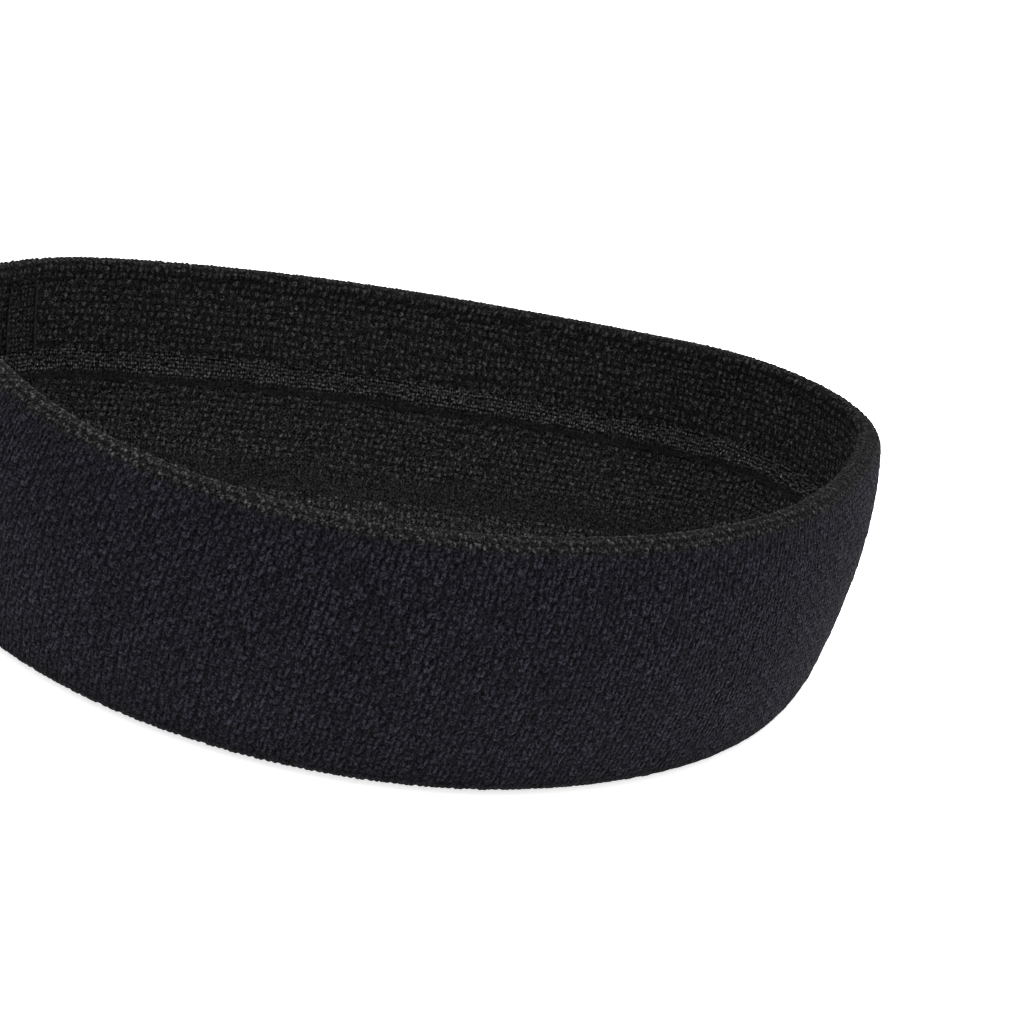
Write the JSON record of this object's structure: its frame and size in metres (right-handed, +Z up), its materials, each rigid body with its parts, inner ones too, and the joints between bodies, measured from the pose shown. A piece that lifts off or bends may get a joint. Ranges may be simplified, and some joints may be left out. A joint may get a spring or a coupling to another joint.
{
  "type": "sports headband",
  "caption": "Pull-on knitted sports headband: a doubled black knit loop with turned edges, an inside joining ridge and an upright closing seam.",
  "frame": {"origin": "middle of the band's outline on the plane that its lower edge stands on", "axes": "+Z up along the wall and the head's axis, +X along the loop's long direction to the right as seen from the front, -Y towards the bulging front"},
  "size_m": [0.1986, 0.151, 0.0537],
  "materials": {
    "outer_knit": "matt knit",
    "inner_knit": "matt knit",
    "thread": "twisted polyester thread",
    "elastic": "covered elastic"
  },
  "bodies": {
    "root": {"outer_face": "outer_knit", "top_fold": "outer_knit", "bottom_fold": "outer_knit", "inner_upper_hem": "inner_knit", "inner_lower_hem": "inner_knit", "elastic_inlay": "elastic", "seam_ridge": "inner_knit", "overlock_thread": "thread", "closing_seam_upper": "inner_knit", "closing_seam_lower": "inner_knit", "closing_stitch_upper_left": "thread", "closing_stitch_upper_right": "thread", "closing_stitch_lower_left": "thread", "closing_stitch_lower_right": "thread", "outer_closing_seam": "outer_knit"}
  },
  "joints": []
}
